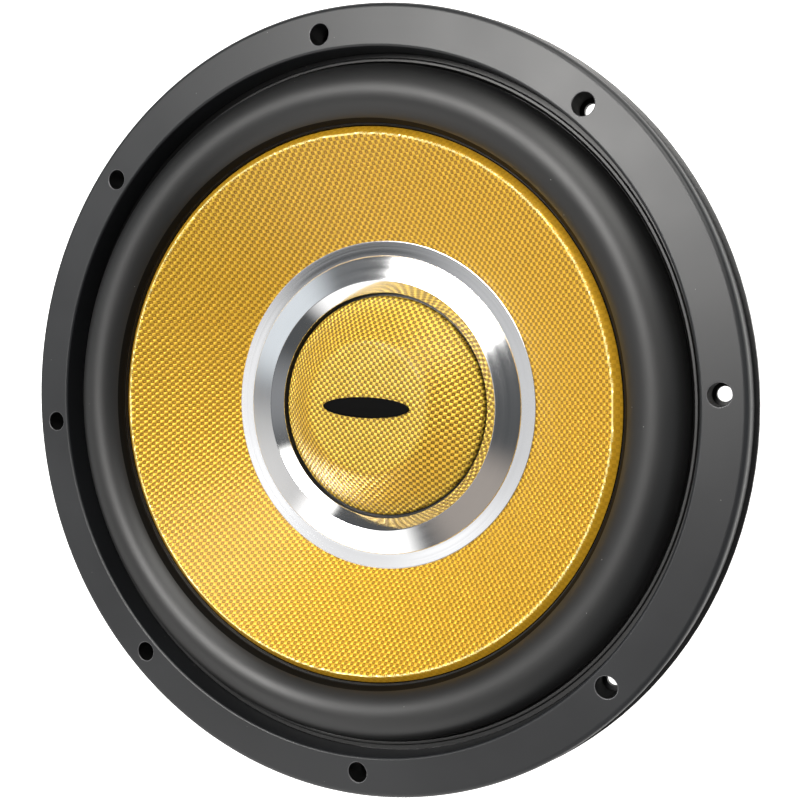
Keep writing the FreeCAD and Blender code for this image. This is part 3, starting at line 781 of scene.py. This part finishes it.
# The height of the material's weave on arrays: s = sin(pi u) * sin(pi v), a peak on every other crossing.
def weaveHeight(x, y, pitch, angle):
    a = math.radians(angle)
    u = (x * math.cos(a) + y * math.sin(a)) / pitch
    v = (-x * math.sin(a) + y * math.cos(a)) / pitch
    return np.sin(np.pi * u) * np.sin(np.pi * v)


# Points at half-thread steps along both threads, between two radii.
def weaveLattice(inner, outer, pitch, angle):
    n = int(outer / (pitch / 2)) + 2
    k = np.arange(-n, n + 1) * pitch / 2
    u, v = np.meshgrid(k, k)
    a = math.radians(angle)
    x, y = u * math.cos(a) - v * math.sin(a), u * math.sin(a) + v * math.cos(a)
    r = np.hypot(x, y)
    keep = (r > inner + weaveSet["gap"]) & (r < outer - weaveSet["gap"])
    return np.stack([x[keep], y[keep]], 1)


# A woven skin between two radii: height from the profile at each point's radius, and the threads' relief
# added along the profile's normal, fading out at the edges.
def wovenPatch(inner, outer, profile, spec):
    pitch, angle = spec["pitch"], spec["angle"]
    loops = [circle(r, spec["steps"]) for r in (outer, inner) if r > 0]
    flat, tris = flatPatch(loops, lambda x, y: (np.hypot(x, y) < outer) & (np.hypot(x, y) > inner),
                           weaveLattice(inner, outer, pitch, angle))
    x, y = flat.T
    r = np.hypot(x, y)
    radii, heights = profile[np.argsort(profile[:, 0])].T
    slope = np.gradient(heights, radii + 1e-9 * np.arange(len(radii)))    # no two radii alike
    tilt = np.arctan(np.clip(np.interp(r, radii, slope), -weaveSet["steepest"], weaveSet["steepest"]))
    fade = np.clip((spec["weaveTo"] - r) / weaveSet["fade"], 0, 1)
    if inner > 0:
        fade = fade * np.clip((r - inner) / weaveSet["fade"], 0, 1)
    lift = spec["relief"] * weaveHeight(x, y, pitch, angle) * fade
    grow = 1 - lift * np.sin(tilt) / np.maximum(r, 1e-6)
    return np.column_stack([x * grow, y * grow, np.interp(r, radii, heights) + lift * np.cos(tilt)]), tris


# Height of the cone's straight front at a radius.
def coneAt(radius):
    s = coneSet
    return np.interp(radius, [s["neck"][0], s["ridge"][0]], [s["neck"][1], s["ridge"][1]])


# Pressed cone with a rolled edge: the front is a woven skin, the back and the neck are turned sections.
def makeCone():
    s = coneSet
    neckR, neckH = s["neck"]
    path = [s["lip"], (*s["ridge"], s["bend"]), (neckR, neckH, s["bend"]), (neckR, neckH - s["collar"])]
    whole = sheetOutline(path, s["thickness"], 8)
    profile = roundedOutline([s["lip"], (*s["ridge"], s["ridgeBend"]), s["neck"]], 10)
    front = wovenPatch(s["weaveFrom"], s["lip"][0], profile, s)
    keep = whole[(whole[:, 0] < s["weaveFrom"]) | (np.arange(len(whole)) > len(whole) // 2)]
    section = np.concatenate([[(s["weaveFrom"], coneAt(s["weaveFrom"]))], keep, [s["lip"]]])
    obj = meshPiece("coneBody", [front, lathePatch(section, s["steps"])], coneGold)

    def onRidge(x, y, z):
        r = np.hypot(x, y)
        return (r > s["weaveTo"]) & (r < s["ridgeTo"]) & (z > s["ridgeLow"])

    paintFaces(obj, skirtGold, lambda x, y, z: np.hypot(x, y) > s["ridgeTo"])
    # The crest of the rolled edge takes the pale gold: a painted highlight.
    paintFaces(obj, paintedRidgeHighlight, onRidge)
    settle(obj, "cone_assembly", "woven_glass", "cone")


# Raised cap: a woven skin over a flat top and a bulging flank, with a short skirt.
def makeCap():
    s = capSet
    topR, topH = s["plateau"]
    edgeR, edgeH = s["edge"]
    low = edgeH - s["edgeDrop"]
    turn = edgeR - s["edgeBend"], edgeH + s["edgeRise"], s["edgeBend"]
    profile = roundedOutline([(0, topH + s["crown"]), (topR, topH, s["bend"]), turn, (edgeR, low)], 12)
    skin = profile[profile[:, 0] < edgeR - 0.01]
    front = wovenPatch(0.0, skin[-1, 0], skin, s)
    inner = edgeR - s["thickness"]
    lidR, lidH = topR - s["lining"][0], topH - s["lining"][1]
    section = np.array([skin[-1], (edgeR, low), (edgeR, s["skirt"]), (inner, s["skirt"]),
                        (inner, edgeH - s["liningEdge"]), (lidR, lidH)])
    skirt = lathePatch(section[::-1], s["steps"])
    flat, tris = flatPatch([circle(lidR, s["steps"])], lambda x, y: np.hypot(x, y) < lidR)
    under = np.column_stack([flat, np.full(len(flat), lidH)]), tris[:, ::-1]
    obj = meshPiece("dustCap", [front, skirt, under], capGold)
    settle(obj, "cone_assembly", "woven_glass", "dust_cap")


# Corners of the plated ring's section. Those of foot and rim are (radius, gap over the cone).
bezelSet = {"front": [(70.8, -22.55, 0.35), (64.45, -23.25, 0.12), (64.2, -23.0, 0.1), (53.8, -21.1, 0.45),
                      (48.9, -24.8, 0.3), (48.9, -28.0), (44.0, -28.0, 0.2), (44.0, -29.2, 0.2),
                      (47.2, -29.2)],
            "foot": [(47.2, 0.1), (48.6, 0.1)], "back": [(48.6, -28.6), (54.1, -22.7), (64.2, -24.6)],
            "rim": [(68.9, 0.2), (70.8, 0.2)], "seat": (49, -25.15), "steps": 720}


# Plated ring: an outer band, a groove, an inner band, a polished wall, and the cap's seat painted dark as
# shade in the gap round the cap.
def makeBezel():
    s = bezelSet
    foot, rim = ([(r, coneAt(r) + gap) for r, gap in s[key]] for key in ("foot", "rim"))
    section = roundedOutline(s["front"] + foot + s["back"] + rim, 6, closed=True)
    obj = meshPiece("bezelRing", turnedPatch(section, s["steps"]), chromePlate, sharpAngle=40)
    shadeR, shadeH = s["seat"]
    # The cap's seat, below the given height and inside the given radius, takes dark plastic: painted shade in
    # the gap round the cap.
    paintFaces(obj, blockPlastic, lambda x, y, z: (z < shadeH) & (np.hypot(x, y) < shadeR))
    settle(obj, "cone_assembly", "chrome_plate", "bezel_ring")


badgeSet = {"length": 40.5, "height": 8.8, "thickness": 0.8, "base": -10.3, "crown": 0.01, "steps": 160,
            # each ring's distance in from the edge, and its height as a share of the thickness
            "inset": [0, 0, 0.02, 0.08, 0.18, 0.6, 1.4, 2.6, 4.0],
            "lift": [0, 0.75, 0.90, 0.97, 0.99, 1.0, 1.0, 1.0, 1.0]}


# Blank oval plate: its edge is an ellipse, (half-length * cos a, half-height * sin a), and rings of it shrink
# towards the middle while the height follows a rounded edge and a slight crown.
def makeBadge():
    s = badgeSet
    halfLength, halfHeight = s["length"] / 2, s["height"] / 2
    a = np.arange(s["steps"]) * 2 * np.pi / s["steps"]
    inset = np.array(s["inset"])[:, None]
    lift = np.array(s["lift"])[:, None] * s["thickness"]
    x = halfLength * np.cos(a) * (1 - inset / halfLength)
    y = halfHeight * np.sin(a) * (1 - inset / halfHeight)
    pts = np.stack([x, y, s["base"] + lift + 0 * a], -1).reshape(-1, 3)
    middles = [[0, 0, s["base"] + lift[-1, 0] + s["crown"]], [0, 0, s["base"]]]
    allPts = np.concatenate([pts, middles])
    low = np.arange(len(a))
    ring = (len(inset) - 1) * len(a) + low
    top = np.stack([ring, np.roll(ring, -1), np.full(len(a), len(allPts) - 2)], 1)
    bottom = np.stack([np.roll(low, -1), low, np.full(len(a), len(allPts) - 1)], 1)
    patches = [(allPts, gridFaces(len(inset), len(a))), (allPts, np.concatenate([top, bottom]))]
    obj = meshPiece("badgePlate", patches, badgeGloss, weld=1e-7)
    settle(obj, "cone_assembly", "badge_gloss", "badge")


# A solid of revolution from its closed section.
def makeTurned(name, corners, material, body, slot, node, steps=256):
    obj = meshPiece(name, turnedPatch(roundedOutline(corners, 6, closed=True), steps), material)
    settle(obj, body, slot, node)


# Corners of the motor's sections. The magnets share one, counted from the back of each.
motorSet = {
    "topPlate": [(35.2, -83, 0.3), (72, -83, 0.6), (72, -75, 0.8), (35.2, -75, 0.3)],
    "magnet": [(42, 0.02, 1.0), (75, 0.02, 1.5), (75, 19.98, 1.5), (42, 19.98, 1.0)],
    "magnetBacks": (("magnetFront", "magnet_front", -103), ("magnetRear", "magnet_rear", -123)),
    "yoke": [(12, -130, 0.3), (14, -130), (14, -131, 0.3), (72, -131, 1.0), (72, -123, 1.0),
             (31.6, -123, 2.0), (31.6, -73, 1.0), (12, -73, 3.0)],
    "boot": [(75.1, -131), (56, -131, 0.6), (56, -133, 0.9), (69.5, -133, 0.3), (70.1, -132.5, 0.3),
             (71.3, -132.5, 0.3), (71.9, -133, 0.3), (77.6, -133, 3.0), (77.6, -89.5, 0.4),
             (77.1, -89.0, 0.3), (77.1, -88.0, 0.3), (77.6, -87.5, 0.4), (77.6, -83.2, 0.9),
             (75.1, -83.2, 0.3)],
    "former": [(32.2, -93), (32.6, -93), (32.6, -49.6), (32.2, -49.6)],
    "coil": {"inner": 32.6, "outer": 34.4, "nest": 0.2, "low": -91, "high": -67, "turns": 60, "steps": 256},
}


# Plates, magnets, yoke, boot and former are turned; the coil's outside steps in and out by nest at each turn.
def makeMotor():
    s = motorSet
    makeTurned("topPlate", s["topPlate"], turnedSteel, "frame", "plated_steel", "top_plate")
    for name, node, low in s["magnetBacks"]:
        corners = [(r, low + h, bend) for r, h, bend in s["magnet"]]
        makeTurned(name, corners, ferriteGrey, "frame", "ferrite", node)
    makeTurned("yokeBody", s["yoke"], turnedSteel, "frame", "plated_steel", "yoke")
    makeTurned("magnetBoot", s["boot"], bootRubber, "frame", "boot_rubber", "magnet_boot", 360)
    makeTurned("coilFormer", s["former"], formerFoil, "cone_assembly", "former_foil", "voice_coil_former")
    c = s["coil"]
    turns = np.arange(c["turns"])
    wires = np.stack([c["outer"] - c["nest"] * (turns % 2),
                      c["low"] + (c["high"] - c["low"]) * (turns + 0.5) / c["turns"]], 1)
    section = np.concatenate([[(c["inner"], c["low"])], wires, [(c["inner"], c["high"])]])
    coil = meshPiece("voiceCoil", turnedPatch(section, c["steps"]), coilWire, sharpAngle=80)
    settle(coil, "cone_assembly", "coil_wire", "voice_coil")


spiderSet = {"first": 38.0, "last": 76.0, "waves": 6, "level": -60.8, "height": 1.7, "thickness": 0.5,
             "landing": [(89.4, -61.4), (80.0, -61.4), (78.0, -61.3)], "collarFoot": 36.4,
             "collar": (32.75, 3.0), "collarBend": 0.8, "blend": (35.0, 78.0), "waveSteps": 14, "steps": 320}


# Corrugated disc: height = level + wave height * sin(2 pi waves * share of the way in), with a flat landing
# outside and a small collar on the former inside.
def makeSpider():
    s = spiderSet
    level, (collar, rise) = s["level"], s["collar"]
    r = np.linspace(s["last"], s["first"], s["waveSteps"] * s["waves"] + 1)
    wave = s["height"] * np.sin((s["last"] - r) / (s["last"] - s["first"]) * 2 * np.pi * s["waves"])
    inside = roundedOutline([(s["collarFoot"], level), (collar, level, s["collarBend"]),
                             (collar, level + rise)], 5)
    top = np.concatenate([s["landing"], np.stack([r, level + wave], 1), inside])
    under = top.copy()
    under[:, 1] -= s["thickness"]
    under[-6:, 0] += s["thickness"]    # the upright end of the collar
    under[-1] = (collar + s["thickness"], level + rise)
    section = np.concatenate([top, under[::-1]])
    obj = meshPiece("spiderDisc", turnedPatch(section, s["steps"]), spiderCloth)
    blendRadially(obj, *s["blend"])
    settle(obj, None, "spider_cloth", "spider")


# Braided lead from a solder lug to the cone, in an upright plane through the axis.
leadSet = {"route": [(110.996, -29.81), (105.6, -25.0, 6.2), (96.5, -27.2, 12.6), (88.0, -37.5, 40.3),
                     (78.5, -44.3, 20.8), (69.0, -46.3, 9.8), (62.4, -43.2, 12.5), (58.28, -37.81)],
           "turn": 4.392, "radius": 0.84, "braid": 0.08, "strands": 5, "lay": 3.2, "sides": 30, "step": 0.22,
           "blend": (60.0, 105.0)}


# A tube along the route. Its surface stands out by braid * |sin(p + q) sin(p - q)|, with p growing along the
# lead and q round it, so that strands cross both ways.
def makeLead(side, node):
    s = leadSet
    route = roundedOutline(s["route"], 12)
    far = np.concatenate([[0], np.cumsum(np.hypot(*np.diff(route, axis=0).T))])
    along = np.arange(0, far[-1], s["step"])
    place = np.stack([np.interp(along, far, route[:, 0]), np.interp(along, far, route[:, 1])], 1)
    tangent = np.gradient(place, axis=0)
    tangent /= np.linalg.norm(tangent, axis=1)[:, None]
    angle = math.radians(-90 + side * s["turn"])
    outwards = np.array([math.cos(angle), math.sin(angle), 0])
    upright = np.array([0, 0, 1.0])
    across = np.array([math.sin(angle), -math.cos(angle), 0])
    middle = place[:, :1] * outwards + place[:, 1:] * upright
    normal = -tangent[:, 1:] * outwards + tangent[:, :1] * upright
    b = np.arange(s["sides"]) * 2 * np.pi / s["sides"]
    p = along[:, None] * 2 * np.pi / s["lay"]
    q = b[None] * s["strands"] / 2
    radius = s["radius"] + s["braid"] * np.abs(np.sin(p + q) * np.sin(p - q))
    radius[[0, -1]] = 0
    middle[[0, -1]] = middle[[1, -2]]
    outline = np.cos(b)[:, None] * normal[:, None] + np.sin(b)[:, None] * across
    pts = middle[:, None] + radius[..., None] * outline
    obj = meshPiece("braidedLead" + ("Red" if side > 0 else "Black"),
                    (pts.reshape(-1, 3), gridFaces(len(along), s["sides"])), braidTin, sharpAngle=70)
    blendRadially(obj, *s["blend"])
    settle(obj, None, slotOf(node), node)


# True where (x, y) is inside the closed loop: a line to the right crosses the loop an odd number of times.
def insideLoop(loop, x, y):
    x1, y1 = loop.T
    x2, y2 = np.roll(loop, -1, axis=0).T
    x, y = x[:, None], y[:, None]
    crossed = (y1 > y) != (y2 > y)
    reach = x1 + (x2 - x1) * (y - y1) / np.where(y2 == y1, 1e-9, y2 - y1)
    return (crossed & (x < reach)).sum(1) % 2 == 1


# Folded leaf under each push tab: strip is its side view, across the terminal and out from the spoke, and
# blend holds two levels.
springSet = {"seat": (0, -115.945, -34.496), "out": (0, -0.7474, -0.6644), "spread": 8.5, "width": 4.0,
             "thickness": 0.25, "strip": [(3.5, 8.85), (-3.3, 7.6, 0.3), (3.3, 5.5, 0.3), (-3.5, 4.2)],
             "blend": (4.6, 8.6)}


# The side view, pushed out to the leaf's width, with both ends closed.
def makeSpring(side, node):
    s = springSet
    seat, out = np.array(s["seat"]), np.array(s["out"])
    right = np.array([1.0, 0, 0])
    up = np.cross(out, right)
    loop = sheetOutline(s["strip"], s["thickness"])
    x, y = loop[:, 0], loop[:, 1]
    if (x * np.roll(y, -1) - np.roll(x, -1) * y).sum() < 0:
        loop = loop[::-1]

    def placed(flat, level):
        return seat + (side * s["spread"] + flat[:, :1]) * right + level * up + flat[:, 1:] * out

    half = s["width"] / 2
    wall = np.concatenate([placed(loop, half), placed(loop, -half)])
    flat, tris = flatPatch([loop], lambda x, y: insideLoop(loop, x, y))
    patches = [(wall, gridFaces(2, len(loop))), (placed(flat, -half), tris),
               (placed(flat, half), tris[:, ::-1])]
    obj = meshPiece("leafSpring" + ("Red" if side > 0 else "Black"), patches, springSteel)
    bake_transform(obj)
    settle(obj, None, slotOf(node), node)


nodeFinishes = {"basket": basketPaint, "vent_screen": ventBlack, "basket_rivets": rivetSteel,
                "terminal_block": blockPlastic, "terminal_rivets": rivetSteel, "contact_red": nickelPlate,
                "contact_black": nickelPlate, "lead_eyelets": nickelPlate,
                "push_tab_red": tabRed, "push_tab_black": tabBlack}


# Materials for the CAD nodes that are shown as they are.
def dressNodes():
    for name, finish in nodeFinishes.items():
        obj = nodes[name]
        obj.data.materials.clear()
        obj.data.materials.append(finish)


makeTrimRing()
makeSurround()
print("rim made")
makeCone()
makeCap()
makeBezel()
makeBadge()
print("cone, cap, bezel and badge made")
makeMotor()
makeSpider()
for side, colour in ((1, "red"), (-1, "black")):
    makeLead(side, "tinsel_lead_" + colour)
    makeSpring(side, "tab_spring_" + colour)
dressNodes()
print("motor and back made")
